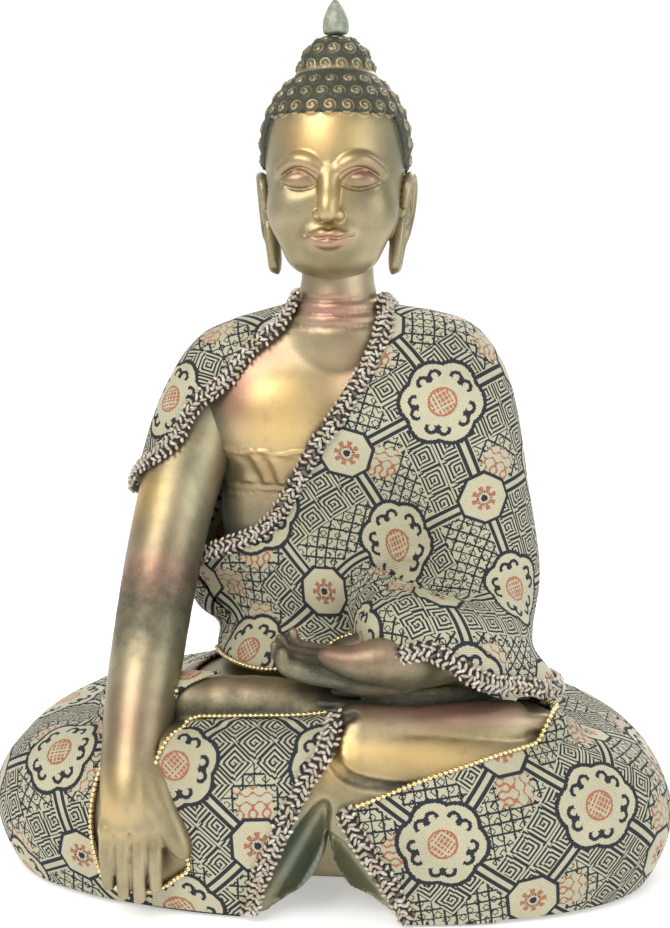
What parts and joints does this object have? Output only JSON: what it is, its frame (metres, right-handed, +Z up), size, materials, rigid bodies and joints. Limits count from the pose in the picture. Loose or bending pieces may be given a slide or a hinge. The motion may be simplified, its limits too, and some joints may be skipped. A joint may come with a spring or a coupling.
{
  "type": "buddha statue",
  "caption": "Seated cross-legged figure in gold-bronze resin, right hand reaching down over the knee, dressed in patterned brocade with plaited braid and bead edging.",
  "frame": {"origin": "middle of the felt's underside, on the surface that the statue stands on", "axes": "+Z up, the figure faces -Y, +X towards the figure's left hand"},
  "size_m": [0.24, 0.1454, 0.2995],
  "materials": {
    "bronze_resin": "metallic gold-bronze paint, satin, with olive patina in the recesses and pink tints on the high spots",
    "aged_resin": "grey-green bronze paint, satin",
    "brocade": "woven brocade, cream and sage ground with navy and rust figures, soft sheen",
    "plaited_braid": "plaited cord in cream and silver over dark brown, satin",
    "gold_beads": "small polished gold beads on a thread",
    "base_plate": "unpainted filler resin, matt",
    "felt": "dark green felt"
  },
  "bodies": {
    "root": {"lap_casting": "bronze_resin", "torso_casting": "bronze_resin", "head_casting": "bronze_resin", "right_arm_casting": "bronze_resin", "left_hand_casting": "bronze_resin", "finial": "aged_resin", "robe_front": "brocade", "robe_back": "brocade", "shoulder_panel": "brocade", "right_leg_cloth": "brocade", "left_leg_cloth": "brocade", "seat_cloth": "brocade", "robe_edge_braid": "plaited_braid", "shoulder_edge_braid": "plaited_braid", "cuff_braid": "plaited_braid", "right_hem_braid": "plaited_braid", "left_hem_braid": "plaited_braid", "robe_hem_bead_chain": "gold_beads", "right_leg_bead_chain": "gold_beads", "arm_opening_bead_chain": "gold_beads", "left_leg_bead_chain": "gold_beads", "base_plate": "base_plate", "base_felt": "felt"}
  },
  "joints": []
}
